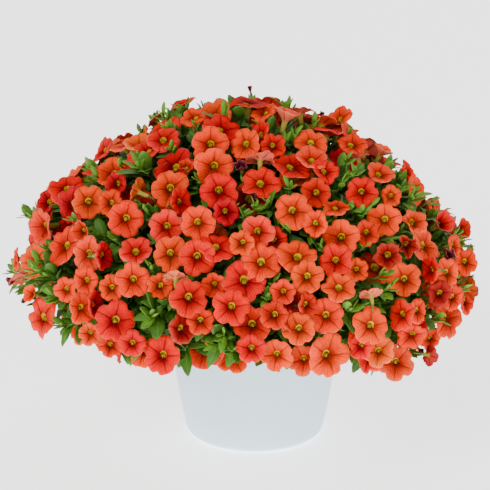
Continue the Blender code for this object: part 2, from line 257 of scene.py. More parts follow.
# Spent blooms and dark buds: pixel x, pixel y, pixels long, turn right, turn up, colour, openness
FRONT_SPENT = (
    (241, 168, 16, -10, 40, "w", 0.3), (414, 222, 26, 30, 20, "p", 0.7), (388, 256, 25, 10, -5, "d", 0.75),
    (407, 245, 22, 20, -10, "d", 0.5), (447, 256, 16, 40, 10, "w", 0.3), (13, 280, 14, -70, -20, "w", 0.3),
    (186, 168, 16, -10, 40, "k", 0.5), (255, 197, 10, -20, 30, "w", 0.15),
    (322, 116, 10, 0, 50, "w", 0.15), (250, 90, 9, -20, 60, "w", 0.12), (26, 300, 10, -60, -10, "w", 0.15),
    (420, 350, 10, 30, -30, "w", 0.15),
)

# Leafy shoot tips between the blooms: pixel x, pixel y, pixels long
FRONT_SPRAYS = (
    (141, 164, 34), (170, 147, 22), (136, 202, 22), (145, 210, 20), (41, 188, 24), (31, 214, 26),
    (39, 230, 26), (139, 130, 20), (195, 122, 18), (225, 113, 26), (244, 94, 34), (97, 177, 24),
    (176, 116, 20), (187, 155, 24), (199, 181, 22), (322, 105, 26), (331, 102, 24), (314, 123, 22),
    (342, 182, 28), (255, 206, 26), (267, 200, 22), (289, 188, 24), (294, 134, 22), (398, 177, 22),
    (403, 189, 24), (352, 208, 26), (363, 214, 24), (453, 225, 24), (456, 235, 24), (26, 217, 26),
    (29, 266, 30), (40, 262, 28), (24, 285, 28), (46, 276, 28), (53, 296, 28), (36, 250, 26),
    (115, 239, 24), (112, 298, 22), (102, 305, 22), (152, 317, 32), (166, 293, 24), (178, 284, 24),
    (224, 335, 30), (217, 345, 26), (231, 352, 24), (267, 299, 22), (232, 251, 22), (290, 229, 30),
    (280, 222, 24), (322, 247, 24), (255, 284, 22), (275, 281, 24), (384, 273, 26), (389, 289, 26),
    (376, 262, 24), (434, 245, 26), (464, 245, 24), (351, 310, 28), (394, 305, 24), (424, 354, 24),
    (454, 316, 26), (366, 246, 26), (412, 262, 24), (390, 238, 24), (60, 215, 24), (73, 220, 22),
    (150, 235, 22), (236, 205, 24), (243, 215, 20), (150, 268, 20), (345, 162, 24), (372, 205, 20),
    (420, 235, 24), (480, 275, 22), (60, 325, 22), (140, 150, 24), (120, 165, 24), (85, 170, 22),
    (210, 110, 22), (270, 98, 22), (365, 130, 24), (395, 150, 22), (430, 200, 24), (445, 210, 22),
)


Bloom = namedtuple("Bloom", "place facing size openness colour end replaced crumple", defaults=((), 0.0))


# ---- Camera, mound and places ----

LOOK = Vector((0.0, math.cos(CAMERA_TILT), -math.sin(CAMERA_TILT)))
CAMERA_UP = Vector((0.0, math.sin(CAMERA_TILT), math.cos(CAMERA_TILT)))
CAMERA_RIGHT = Vector((1.0, 0.0, 0.0))
CAMERA_PLACE = CAMERA_TARGET - LOOK * CAMERA_DISTANCE


def pixel_ray(x, y):
    """The way from the photograph's camera through a pixel."""
    half = IMAGE_PIXELS / 2
    across = CAMERA_RIGHT * (x - half) / FOCAL_PIXELS
    upward = CAMERA_UP * (half - y) / FOCAL_PIXELS
    return (LOOK + across + upward).normalized()


def pixel_of(place):
    """Where the photograph's camera sees a point."""
    way = place - CAMERA_PLACE
    depth = way.dot(LOOK)
    half = IMAGE_PIXELS / 2
    x = half + FOCAL_PIXELS * way.dot(CAMERA_RIGHT) / depth
    y = half - FOCAL_PIXELS * way.dot(CAMERA_UP) / depth
    return x, y


def mound_level(place):
    """1 on the mound's surface, less inside it and more outside."""
    way = place - MOUND_CENTRE
    reach = math.hypot(way.x, way.y) / MOUND_RADIUS
    if way.z >= 0:
        return reach**MOUND_POWER + (way.z / MOUND_RISE) ** MOUND_POWER
    return reach**SKIRT_POWER + (-way.z / MOUND_DROP) ** SKIRT_POWER


def on_mound(x, y):
    """The mound's surface behind a pixel, or the nearest it comes to that pixel's ray."""
    ray = pixel_ray(x, y)
    best = (math.inf, None)
    for step in range(RAY_STEPS):
        place = CAMERA_PLACE + ray * (RAY_START + RAY_STEP * step)
        level = mound_level(place)
        if level <= 1.0:
            return place
        if level < best[0]:
            best = (level, place)
    return best[1]


def mound_skin(azimuth, rise):
    """The mound's surface at an azimuth from the front and an angle above its waist, both in radians."""
    halvings = 22
    flat = math.cos(rise)
    way = Vector((math.sin(azimuth) * flat, -math.cos(azimuth) * flat, math.sin(rise)))
    low, high = 0.0, 0.3
    for _ in range(halvings):
        middle = (low + high) / 2
        if mound_level(MOUND_CENTRE + way * middle) > 1.0:
            high = middle
        else:
            low = middle
    return MOUND_CENTRE + way * low


def outward(place):
    return (place - HEART).normalized()


def between(table, value):
    """The table's two further numbers, read between its rows."""
    value = min(max(value, table[0][0]), table[-1][0])
    for low, high in zip(table, table[1:]):
        if value <= high[0]:
            share = (value - low[0]) / (high[0] - low[0])
            return [a + (b - a) * share for a, b in zip(low[1:], high[1:])]


def tucked(place, margin):
    """The place, drawn in towards the heart until it is margin pixels inside the edge in the photograph."""
    for _ in range(TUCK_STEPS):
        x, y = pixel_of(place)
        left, right = between(EDGE_ROWS, y)
        top, bottom = between(EDGE_COLUMNS, x)
        if min(x - left, right - x, y - top, bottom - y) >= margin:
            break
        place = place.lerp(HEART, TUCK_SHARE)
    return place


def to_camera(place):
    return (CAMERA_PLACE - place).normalized()


def turned_to(place, right_deg, up_deg):
    """A facing that starts at the camera and turns to the right and then up, in degrees."""
    facing = Quaternion(CAMERA_RIGHT, math.radians(-up_deg)) @ to_camera(place)
    return Quaternion(CAMERA_UP, math.radians(right_deg)) @ facing


def shown_share(place):
    """1 where the photograph's camera sees the mound's skin face on, 0 where it sees it edge on."""
    return outward(place).dot(to_camera(place))


def in_photograph(place):
    """True where the photograph shows the mound's skin at more than a glance."""
    return shown_share(place) > HALF_SHOWN


# ---- Node tools ----


def add_node(tree, kind, sockets=None, **settings):
    """A node with its settings. Its inputs, by name or number, are linked to a socket or set to a value."""
    node = tree.nodes.new(kind)
    for name, value in settings.items():
        setattr(node, name, value)
    for name, value in (sockets or {}).items():
        if isinstance(value, bpy.types.NodeSocket):
            tree.links.new(value, node.inputs[name])
        else:
            node.inputs[name].default_value = value
    return node


def maths(tree, operation, first, second=0.5):
    return add_node(tree, "ShaderNodeMath", {0: first, 1: second}, operation=operation).outputs[0]


def plus(tree, first, second):
    return maths(tree, "ADD", first, second)


def less(tree, first, second):
    return maths(tree, "SUBTRACT", first, second)


def times(tree, first, second):
    return maths(tree, "MULTIPLY", first, second)


def ease(tree, value, low, high, to_low=0.0, to_high=1.0):
    """A smooth step from to_low to to_high as value runs from low to high."""
    sockets = {"Value": value, "From Min": low, "From Max": high, "To Min": to_low, "To Max": to_high}
    return add_node(tree, "ShaderNodeMapRange", sockets, interpolation_type="SMOOTHSTEP").outputs["Result"]


def blend(tree, amount, first, second):
    """The first colour, which gives way to the second as amount goes from 0 to 1."""
    return add_node(tree, "ShaderNodeMix", {0: amount, 6: first, 7: second}, data_type="RGBA").outputs[2]


def noise_of(tree, scale, detail, rough):
    place = add_node(tree, "ShaderNodeTexCoord").outputs["Object"]
    sockets = {"Vector": place, "Scale": scale, "Detail": detail, "Roughness": rough}
    return add_node(tree, "ShaderNodeTexNoise", sockets).outputs["Fac"]


def two_sided(tree, uv_map):
    """The two coordinates of a UV map, and 1 on the back, where the second coordinate has 2 added to it."""
    spot = add_node(tree, "ShaderNodeUVMap", uv_map=uv_map).outputs["UV"]
    apart = add_node(tree, "ShaderNodeSeparateXYZ", {0: spot}).outputs
    back = maths(tree, "GREATER_THAN", apart["Y"], 1.5)
    return apart["X"], less(tree, apart["Y"], times(tree, back, 2.0)), back


def new_group(name, colours, floats=()):
    """A node group that puts out a colour and a height, with the sockets of its input and output nodes."""
    group = bpy.data.node_groups.new(name, "ShaderNodeTree")
    for socket in colours:
        group.interface.new_socket(name=socket, in_out="INPUT", socket_type="NodeSocketColor")
    for socket in floats:
        group.interface.new_socket(name=socket, in_out="INPUT", socket_type="NodeSocketFloat")
    group.interface.new_socket(name="Color", in_out="OUTPUT", socket_type="NodeSocketColor")
    group.interface.new_socket(name="Height", in_out="OUTPUT", socket_type="NodeSocketFloat")
    return group, group.nodes.new("NodeGroupInput").outputs, group.nodes.new("NodeGroupOutput").inputs


def finish_with(name, group, values, roughness, bump, distance, specular=0.5):
    """A material whose colour and relief come from a group, with the rest set on the shader itself."""
    made = bpy.data.materials.new(name)
    made.use_nodes = True
    tree = made.node_tree
    shader = tree.nodes["Principled BSDF"]
    marks = add_node(tree, "ShaderNodeGroup", node_tree=group)
    for socket, value in values.items():
        marks.inputs[socket].default_value = value
    tree.links.new(marks.outputs["Color"], shader.inputs["Base Color"])
    sockets = {"Strength": bump, "Distance": distance, "Height": marks.outputs["Height"]}
    relief = add_node(tree, "ShaderNodeBump", sockets)
    tree.links.new(relief.outputs["Normal"], shader.inputs["Normal"])
    shader.inputs["Roughness"].default_value = roughness
    shader.inputs["Specular IOR Level"].default_value = specular
    return made


# ---- Finishes ----


def opaque(tone):
    return (*tone, 1.0)


def srgb(red, green, blue):
    """The linear colour, with alpha, of an 8-bit screen colour."""
    shares = [value / 255 for value in (red, green, blue)]
    return opaque([s / 12.92 if s <= 0.04045 else ((s + 0.055) / 1.055) ** 2.4 for s in shares])


YELLOW_THROAT = (0.56, 0.35, 0.0, 1.0)
# Painted shade for the deep end of the throat's tube, in a dark brown
PIT_SHADE = (0.17, 0.030, 0.001, 1.0)
GREEN_TUBE = (0.42, 0.34, 0.05, 1.0)
# Painted highlight for the petals' rims
RIM_HIGHLIGHT = (1.0, 0.36, 0.28, 1.0)


def petal_marks():
    """Colour and relief of a petal: yellow throat, a dark heart that is partly painted shade, painted shade
    deep in the throat, paler rim with a painted highlight along its edge, a fold down each lobe that is
    partly painted crease shade, veins.

    The petal map runs round the bloom in lobes from +X, and from its foot to its rim. The yellow reaches
    further on the upper side, towards +Y.
    """
    group, given, out = new_group("petal_marks", ("Throat", "Heart", "Middle", "Rim", "Back", "Vein"))
    turn, share, back = two_sided(group, "petal")
    cloud = noise_of(group, 260.0, 4.0, 0.6)
    drift = less(group, cloud, 0.5)
    upper = maths(group, "SINE", times(group, turn, math.tau / LOBES))
    bent = plus(group, turn, times(group, drift, 0.20))
    wander = plus(group, share, times(group, drift, 0.12))

    off_fold = maths(group, "ABSOLUTE", less(group, maths(group, "FRACT", bent), 0.5))
    fold_width = ease(group, share, 0.2, 1.0, 0.19, 0.055)
    fold = less(group, 1.0, maths(group, "DIVIDE", off_fold, fold_width))
    fold = maths(group, "MAXIMUM", fold, 0.0)
    fold = times(group, fold, ease(group, share, 1.0, 0.5, 0.45, 1.0))
    wave = maths(group, "SINE", times(group, bent, math.tau * 6))
    veins = ease(group, wave, 0.1, 1.0)
    veins = times(group, veins, ease(group, share, 0.98, 0.45, 0.12, 1.0))
    veins = times(group, veins, ease(group, upper, -1.0, 1.0, 1.0, 0.55))

    eye = plus(group, wander, times(group, upper, -0.20))
    pit = plus(group, share, times(group, upper, 0.09))
    # The dark heart fades into the middle over most of the limb: partly the petal's own colour, partly
    # painted shade down the funnel. It fades a little sooner on the upper side, as painted light from above.
    glow = plus(group, wander, times(group, upper, 0.02))
    face = blend(group, ease(group, glow, 0.36, 0.84), given["Heart"], given["Middle"])
    face = blend(group, ease(group, wander, 0.70, 1.0), face, given["Rim"])
    face = blend(group, ease(group, eye, 0.26, 0.21), face, given["Throat"])
    # Painted shade deep in the throat's tube, reaching further out on the lower side
    face = blend(group, ease(group, pit, 0.24, 0.10), face, PIT_SHADE)
    reverse = blend(group, ease(group, share, 0.45, 0.14), given["Back"], GREEN_TUBE)
    skin = blend(group, back, face, reverse)
    # The dark line down each lobe's fold is partly its main vein and partly painted shade in the crease.
    marks = plus(group, times(group, fold, 0.85), times(group, veins, 0.60))
    marks = times(group, maths(group, "MINIMUM", marks, 0.88), ease(group, eye, 0.20, 0.29))
    skin = blend(group, marks, skin, given["Vein"])
    # Painted highlight: a pale line along the rim's last sliver, in patches.
    edge = times(group, ease(group, share, 0.955, 1.0), ease(group, cloud, 0.35, 0.65, 0.06, 0.38))
    skin = blend(group, edge, skin, RIM_HIGHLIGHT)

    tint = add_node(group, "ShaderNodeAttribute", attribute_name="tint").outputs["Fac"]
    shade = ease(group, cloud, 0.25, 0.75, 0.84, 1.08)
    shade = times(group, shade, ease(group, tint, 0.0, 1.0, 0.82, 1.08))
    hue = ease(group, tint, 0.0, 1.0, 0.499, 0.509)
    toned = add_node(group, "ShaderNodeHueSaturation", {"Color": skin, "Value": shade, "Hue": hue})
    group.links.new(toned.outputs["Color"], out["Color"])
    relief = plus(group, times(group, fold, -0.9), times(group, veins, -0.4))
    group.links.new(plus(group, relief, times(group, cloud, 0.5)), out["Height"])
    return group


def leaf_marks():
    """Colour and relief of a leaf: pale midrib, faint side veins, patches, paler underside.

    The leaf map runs from -1 to 1 across the blade, and from its foot to its tip.
    """
    group, given, out = new_group("leaf_marks", ("Blade", "Deep", "Rib"))
    across, along, under = two_sided(group, "leaf")
    patches = noise_of(group, 70.0, 3.0, 0.6)
    grain = noise_of(group, 900.0, 3.0, 0.6)
    off_rib = maths(group, "ABSOLUTE", across)
    rib = ease(group, off_rib, 0.16, 0.03)
    slant = less(group, times(group, along, 9.0), times(group, off_rib, 2.2))
    side_veins = ease(group, maths(group, "SINE", times(group, slant, math.tau)), 0.55, 1.0)
    blade = blend(group, ease(group, patches, 0.32, 0.68), given["Deep"], given["Blade"])
    blade = blend(group, times(group, grain, 0.30), blade, given["Rib"])
    marks = plus(group, times(group, rib, 0.55), times(group, side_veins, 0.14))
    blade = blend(group, marks, blade, given["Rib"])
    blade = blend(group, times(group, under, 0.35), blade, given["Rib"])
    group.links.new(blade, out["Color"])
    relief = plus(group, times(group, rib, -0.8), times(group, side_veins, -0.3))
    group.links.new(plus(group, relief, times(group, grain, 0.5)), out["Height"])
    return group


def speckled():
    """A base colour mottled with a second one in soft patches, with specks of a third."""
    group, given, out = new_group(
        "speckled", ("Base", "Patch", "Speck"), ("Patch Scale", "Speck Scale", "Speck Amount")
    )
    place = add_node(group, "ShaderNodeTexCoord").outputs["Object"]
    sockets = {"Vector": place, "Scale": given["Patch Scale"], "Detail": 5.0}
    patches = add_node(group, "ShaderNodeTexNoise", sockets).outputs["Fac"]
    sockets = {"Vector": place, "Scale": given["Speck Scale"]}
    specks = add_node(group, "ShaderNodeTexVoronoi", sockets).outputs["Distance"]
    skin = blend(group, ease(group, patches, 0.35, 0.65), given["Base"], given["Patch"])
    spots = times(group, ease(group, specks, 0.35, 0.10), given["Speck Amount"])
    group.links.new(blend(group, spots, skin, given["Speck"]), out["Color"])
    group.links.new(plus(group, patches, spots), out["Height"])
    return group


def petal_finishes():
    """One finish for each colour of bloom. The linear colours: heart, middle, rim, back. The heart tones are
    dark partly as painted shade down the funnel.
    """
    marks = petal_marks()
    names = ("Heart", "Middle", "Rim", "Back")
    palette = {
        "coral": ((0.28, 0.000, 0.002), (0.97, 0.002, 0.000), (1.00, 0.010, 0.001), (0.90, 0.070, 0.034)),
        "red": ((0.28, 0.000, 0.004), (0.90, 0.001, 0.003), (0.98, 0.010, 0.008), (0.86, 0.055, 0.040)),
        # The orange tones are darker than the coral partly as painted shade.
        "shaded_orange": ((0.20, 0.001, 0.000), (0.76, 0.006, 0.000), (0.90, 0.020, 0.000), (0.80, 0.080, 0.018)),
        "pink": ((0.30, 0.001, 0.003), (0.96, 0.012, 0.004), (1.00, 0.052, 0.034), (0.94, 0.135, 0.085)),
        "crimson": ((0.15, 0.000, 0.002), (0.58, 0.000, 0.006), (0.72, 0.005, 0.014), (0.66, 0.030, 0.034)),
        "peach": ((0.36, 0.008, 0.000), (0.92, 0.050, 0.003), (0.98, 0.110, 0.030), (0.94, 0.210, 0.100)),
        "dusky": ((0.14, 0.001, 0.003), (0.46, 0.014, 0.008), (0.60, 0.042, 0.024), (0.52, 0.085, 0.055)),
        "withered": ((0.03, 0.001, 0.006), (0.12, 0.01, 0.024), (0.20, 0.03, 0.045), (0.15, 0.02, 0.04)),
    }
    made = {}
    for name, tones in palette.items():
        colours = dict(zip(names, map(opaque, tones)))
        colours["Throat"] = YELLOW_THROAT
        colours["Vein"] = opaque([0.62 * shade for shade in tones[0]])
        made[name] = finish_with(f"petal_{name}", marks, colours, 0.6, 0.7, 0.0007, specular=0.05)
    return made


def leaf_finishes():
    """One finish for each age of leaf. The linear colours: blade, deep patches, rib."""
    marks = leaf_marks()
    palette = {
        "young": ((0.110, 0.290, 0.012), (0.060, 0.185, 0.008), (0.230, 0.430, 0.060)),
        "grown": ((0.062, 0.185, 0.010), (0.030, 0.105, 0.008), (0.140, 0.290, 0.044)),
        "inner": ((0.032, 0.098, 0.005), (0.016, 0.056, 0.003), (0.070, 0.150, 0.020)),
    }
    made = {}
    for name, tones in palette.items():
        colours = dict(zip(("Blade", "Deep", "Rib"), map(opaque, tones)))
        made[name] = finish_with(f"leaf_{name}", marks, colours, 0.5, 0.5, 0.0005, specular=0.25)
    return made


def plain_finishes():
    """The other finishes: a name, three colours, grain, roughness, bump, the bump's depth, specular."""
    mottle = speckled()
    sockets = ("Base", "Patch", "Speck", "Patch Scale", "Speck Scale", "Speck Amount")
    green = (srgb(96, 126, 44), srgb(70, 100, 34), srgb(124, 146, 70))
    brown = (srgb(116, 96, 58), srgb(82, 66, 40), srgb(150, 130, 90))
    peat = (srgb(58, 42, 30), srgb(36, 26, 20), srgb(120, 94, 66))
    pale_blue = ((0.72, 0.89, 1.00, 1.0), (0.70, 0.87, 0.99, 1.0), (0.66, 0.84, 0.97, 1.0))
    ochre = ((0.22, 0.07, 0.002, 1.0), (0.44, 0.25, 0.002, 1.0), (0.10, 0.02, 0.001, 1.0))
    table = {
        "stem": ("stem_skin", green, (220, 1800, 0.25), 0.55, 0.4, 0.0004, 0.5),
        "bark": ("crown_bark", brown, (160, 700, 0.5), 0.85, 0.8, 0.001, 0.5),
        "soil": ("peat_mix", peat, (90, 420, 0.6), 0.95, 1.0, 0.003, 0.5),
        "plastic": ("pot_plastic", pale_blue, (26, 1500, 0.12), 0.42, 0.05, 0.0002, 0.5),
        "pollen": ("throat_pollen", ochre, (700, 1600, 0.7), 0.8, 0.6, 0.0004, 0.2),
    }
    made = {}
    for kind, (name, tones, grain, roughness, bump, depth, specular) in table.items():
        values = dict(zip(sockets, tones + grain))
        made[kind] = finish_with(name, mottle, values, roughness, bump, depth, specular)
    return made


# ---- Mesh tools ----


def mesh_of(name, bm):
    """The bmesh as a mesh. The bmesh is used up."""
    mesh = bpy.data.meshes.new(name)
    bm.to_mesh(mesh)
    bm.free()
    return mesh


def in_scene(name, data):
    """An object of the scene that holds a mesh, a camera or a light."""
    made = bpy.data.objects.new(name, data)
    bpy.context.scene.collection.objects.link(made)
    return made


def piece(name, bm, finishes, replaced=()):
    """A finished piece of the object, from a bmesh whose place is already in it."""
    mesh = mesh_of(name, bm)
    for finish in finishes:
        mesh.materials.append(finish)
    mesh.shade_smooth()
    made = in_scene(name, mesh)
    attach(made, "root")
    if replaced:
        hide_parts(*replaced)
    return made


def give_finish(made, index):
    """Puts one of the piece's finishes on the faces of a shape that an operator made."""
    for vert in made["verts"]:
        for face in vert.link_faces:
            face.material_index = index


def spun(bm, profile, steps):
    """Turns a profile of (radius, height) points round +Z. The share layer runs from 0 to 1 along it."""
    share = bm.verts.layers.float.new("share")
    verts = [bm.verts.new((r, 0.0, z)) for r, z in profile]
    for index, vert in enumerate(verts):
        vert[share] = index / (len(verts) - 1)
    edges = [bm.edges.new(pair) for pair in zip(verts, verts[1:])]
    bmesh.ops.spin(
        bm, geom=verts + edges, cent=(0, 0, 0), axis=(0, 0, 1), dvec=(0, 0, 0),
        angle=math.tau, steps=steps, use_merge=True,
    )
    return share


def bezier(a, b, c, d, count):
    steps = [i / (count - 1) for i in range(count)]
    return [
        a * (1 - s) ** 3 + b * 3 * s * (1 - s) ** 2 + c * 3 * s**2 * (1 - s) + d * s**3 for s in steps
    ]


def tube(bm, route, thick, thin, finish):
    """A five-sided tapering stalk along a route, closed at both ends."""
    way = (route[1] - route[0]).normalized()
    matrix = Matrix.Translation(route[0]) @ way.to_track_quat("Z", "Y").to_matrix().to_4x4()
    disc = bmesh.ops.create_circle(bm, cap_ends=True, segments=5, radius=thick, matrix=matrix)
    cap = disc["verts"][0].link_faces[0]
    cap.material_index = finish
    for step in range(1, len(route)):
        before = route[step - 1]
        last = cap
        # The disc stays, and is turned to face backwards, as the foot; every later cap gives way to the next
        made = bmesh.ops.extrude_face_region(bm, geom=[cap], use_keep_orig=step == 1)["geom"]
        cap = next(item for item in made if isinstance(item, bmesh.types.BMFace))
        if step > 1 and last.is_valid:
            bmesh.ops.delete(bm, geom=[last], context="FACES_ONLY")
        ahead = (route[step] - before).normalized()
        bend = way.rotation_difference(ahead)
        radius = (1 - step / (len(route) - 1)) * (thick - thin) + thin
        for vert in cap.verts:
            arm = bend @ (vert.co - before)
            vert.co = route[step] + arm.normalized() * radius
        way = ahead


def placed(place, facing, roll, size):
    turn = facing.to_track_quat("Z", "Y").to_matrix().to_4x4()
    return Matrix.Translation(place) @ turn @ Matrix.Rotation(roll, 4, "Z") @ Matrix.Scale(size, 4)


def stamp(bm, shape, matrix):
    """Adds a copy of a shape at a place."""
    copy = shape.copy()
    copy.transform(matrix)
    bm.from_mesh(copy)
    bpy.data.meshes.remove(copy)


def random_lean(way, amount, dice):
    lean = Vector([dice.uniform(-amount, amount) for _ in "xyz"])
    return (way + lean).normalized()


# ---- Leaves ----


def leaf_shape(name, length, width, droop, gutter, wave, columns, finish):
    """A thin closed leaf along +Y from the origin, with its upper face to +Z."""
    bm = bmesh.new()
    bmesh.ops.create_grid(bm, x_segments=columns, y_segments=4, size=1.0)
    spot = bm.loops.layers.uv.new("leaf")
    flat = {}
    for vert in bm.verts:
        across, along = vert.co.x, 1 - (0.5 - vert.co.y / 2) ** 1.45
        flat[vert] = (across, along)
        outline = math.sin(math.pi * along**1.15) ** 0.7 if 0 < along < 1 else 0.0
        half = width / 2 * max(outline, 0.14)
        lift = gutter * half * abs(across) + wave * math.sin(7 * along + 2 * across) * half
        vert.co = Vector((across * half, along * length, lift - droop * length * along**2))
    for face in bm.faces:
        for loop in face.loops:
            loop[spot].uv = flat[loop.vert]
    top = set(bm.faces)
    bmesh.ops.solidify(bm, geom=list(bm.faces), thickness=LEAF_THICK)
    for face in bm.faces:
        face.material_index = finish
        if face not in top:
            for loop in face.loops:
                loop[spot].uv = (loop[spot].uv[0], loop[spot].uv[1] + 2)
    bmesh.ops.recalc_face_normals(bm, faces=bm.faces)
    return mesh_of(name, bm)


def leaf_shapes():
    """The leaf meshes of each age. The inner ones, which hardly show, are simpler."""
    return {
        age: [leaf_shape(*row, 1 if age == "inner" else 2, finish) for row in rows]
        for finish, (age, rows) in enumerate(LEAVES.items())
    }


def hides_bloom(place, faces):
    """True if a point stands in front of a bloom's face, where a leaf would pierce or cover it."""
    for middle, index, gap in faces["tree"].find_range(place, FACE_SEARCH):
        facing, radius = faces["blooms"][index]
        arm = place - middle
        ahead = arm.dot(facing)
        reach = radius * (1.0 if ahead < NEAR_FACE else 0.75)
        if BEHIND_FACE < ahead < BEFORE_FACE and (arm - facing * ahead).length < reach:
            return True
    return False


def leaf_at(bm, shape, place, way, sky, size, faces):
    """Puts a leaf on a stem, unless it would hide a bloom: along way, with its upper face to the sky."""
    way = way.normalized()
    if any(hides_bloom(place + way * reach * size, faces) for reach in LEAF_PROBES):
        return
    side = way.cross(sky)
    side = side.normalized() if side.length > 0.05 else way.orthogonal().normalized()
    turn = Matrix((side, way, side.cross(way))).transposed().to_4x4()
    stamp(bm, shape, Matrix.Translation(place) @ turn @ Matrix.Scale(size, 4))


def clothe(bm, shapes, route, dice, leaves, size, faces):
    """Leaves in a spiral along a shoot, from its bare share to its tip, with the young ones at the tip."""
    first, count, tip_share = leaves
    last = 0.99
    turn = dice.uniform(0, 6.28)
    for index in range(count):
        step = max(index + dice.uniform(-0.3, 0.3), 0) / max(count - 1, 1)
        share = min(max(first + (last - first) * step**0.75, 0.02), 0.995)
        spot = share * (len(route) - 1)
        low = min(int(spot), len(route) - 2)
        place = route[low].lerp(route[low + 1], spot - low)
        ahead = (route[low + 1] - route[low]).normalized()
        turn += math.radians(GOLDEN_ANGLE + dice.uniform(-14, 14))
        arm = Quaternion(ahead, turn) @ ahead.orthogonal().normalized()
        spread = dice.uniform(0.55, 1.15) if share < tip_share else dice.uniform(0.30, 0.80)
        way = (ahead * math.cos(spread) + arm * math.sin(spread)).normalized()
        stray = Vector([dice.uniform(-0.3, 0.3) for _ in "xyz"])
        sky = Vector((0, 0, 1)) * 0.7 + outward(place) * 0.6 + stray
        age = "young" if share >= tip_share else ("grown" if share > 0.62 else "inner")
        scale = size * dice.uniform(0.82, 1.15)
        if share >= tip_share:
            scale *= 1.05 - 0.35 * (share - tip_share) / max(1 - tip_share, 0.01)
        leaf_at(bm, dice.choice(shapes[age]), place, way, sky, scale, faces)


# ---- Blooms ----


def limb_profile(openness):
    """The bloom's section: a narrow tube, a throat, and a limb that is flat at 1 and a funnel near 0."""
    throat_lean, open_lean = 30, 86
    rim_curl = 14 if openness > 0.92 else 52
    points = [(0.9, -TUBE_LENGTH - 1.0), (2.1, -TUBE_LENGTH + 5.0), (2.3, -6.5), (THROAT_RADIUS, -3.2)]
    radius, height = points[-1]
    reach = BLOOM_RADIUS - THROAT_RADIUS
    gone = 0.0
    for index, step in enumerate(LIMB_STEPS):
        gone += step
        opened = min(1.0, (gone / 0.50) ** 0.8)
        lean = math.radians(throat_lean + (open_lean * openness - throat_lean) * opened)
        if openness > 0.6 and index == len(LIMB_STEPS) - 1:
            lean += math.radians(rim_curl)
        radius += reach * step * LIMB_STRETCH * math.sin(lean)
        height += reach * step * LIMB_STRETCH * math.cos(lean)
        points.append((radius, height))
    return points


def lobes_round(point):
    """How many lobes round from +X a point is."""
    return math.atan2(point.y, point.x) % math.tau / math.tau * LOBES


def shape_limb(bm, share, openness, dice, crumple):
    """Gives the spun funnel its lobes and notches, the fold down each lobe and a ruffled rim."""
    phases = [dice.uniform(0, 6.28) for _ in range(4)]
    ruffle = dice.uniform(0.8, 2.0) * (1 + 2.0 * crumple)
    saddle = dice.uniform(-2.0, 2.0)
    lobe_lift = [dice.uniform(-2.8, 2.2) * (1 + crumple) for _ in range(LOBES)]
    lobe_size = [dice.uniform(0.92, 1.06) for _ in range(LOBES)]
    flat = min(1.0, openness * 1.1)
    for vert in bm.verts:
        radius = math.hypot(vert.co.x, vert.co.y)
        out = max(0.0, (vert[share] - 0.36) / 0.64)
        if out <= 0:
            continue
        angle = math.atan2(vert.co.y, vert.co.x) % math.tau
        turn = lobes_round(vert.co)
        lobe = int(turn) % LOBES
        off = abs(turn % 1 - 0.5) * 2
        notch = max(0.0, (off - 0.5) / 0.5) ** 2
        bulge = (1 - off**2) * 0.035 * out**2
        fold = max(0.0, 1 - off * 3.2)
        grow = (1 - 0.15 * notch * out**3 + bulge) * (1 + (lobe_size[lobe] - 1) * (1 - off) * out)
        lift = -1.25 * fold * out * (1 - 0.5 * out) + 0.5 * (1 - abs(2 * off - 1)) * out
        lift += -0.8 * notch * out**2
        lift += lobe_lift[lobe] * (1 - off**2) * out**2
        lift += ruffle * out**2 * 0.55 * math.sin(3 * angle + phases[0])
        lift += ruffle * out**3 * 0.35 * math.sin(7 * angle + phases[1])
        lift += saddle * out**2 * math.cos(2 * angle + phases[3])
        squeeze = 1 - crumple * 0.35 * out * (0.5 + 0.5 * math.sin(5 * angle + phases[2]))
        way = Vector((vert.co.x / radius, vert.co.y / radius, 0.0))
        height = vert.co.z
        vert.co = way * (radius * grow * squeeze)
        vert.co.z = height + lift * flat
        vert.co -= way * lift * (1 - flat) * 0.8


def map_petals(bm, share, front):
    """The petal map: lobes round, and the way out, where the throat's end comes at 0.2. The back adds 2."""
    throat_end, mapped_end = 0.34, 0.2
    spot = bm.loops.layers.uv.new("petal")
    for face in bm.faces:
        heading = lobes_round(face.calc_center_median())
        for loop in face.loops:
            turn = lobes_round(loop.vert.co)
            if turn - heading > LOBES / 2:
                turn -= LOBES
            if heading - turn > LOBES / 2:
                turn += LOBES
            along = loop.vert[share]
            if along < throat_end:
                along = along * mapped_end / throat_end
            else:
                along = mapped_end + 0.8 * (along - throat_end) / 0.66
            loop[spot].uv = (turn, along + (0 if face in front else 2))


def add_sepals(bm, dice):
    """Five narrow sepals round the foot of the tube."""
    for index in range(LOBES):
        angle = math.tau * (index + 0.2) / LOBES
        lean = Matrix.Rotation(0.22 + dice.uniform(-0.1, 0.15), 4, "Y")
        foot = Matrix.Translation((1.0, 0, -TUBE_LENGTH - 1.2))
        place = Matrix.Rotation(angle, 4, "Z") @ foot @ lean
        sepal = bmesh.ops.create_cone(
            bm, cap_ends=True, segments=4, radius1=0.85, radius2=0.12, depth=8.0,
            matrix=place @ Matrix.Translation((0, 0, 4.0)) @ Matrix.Diagonal((0.6, 1, 1, 1)),
        )
        give_finish(sepal, 1)


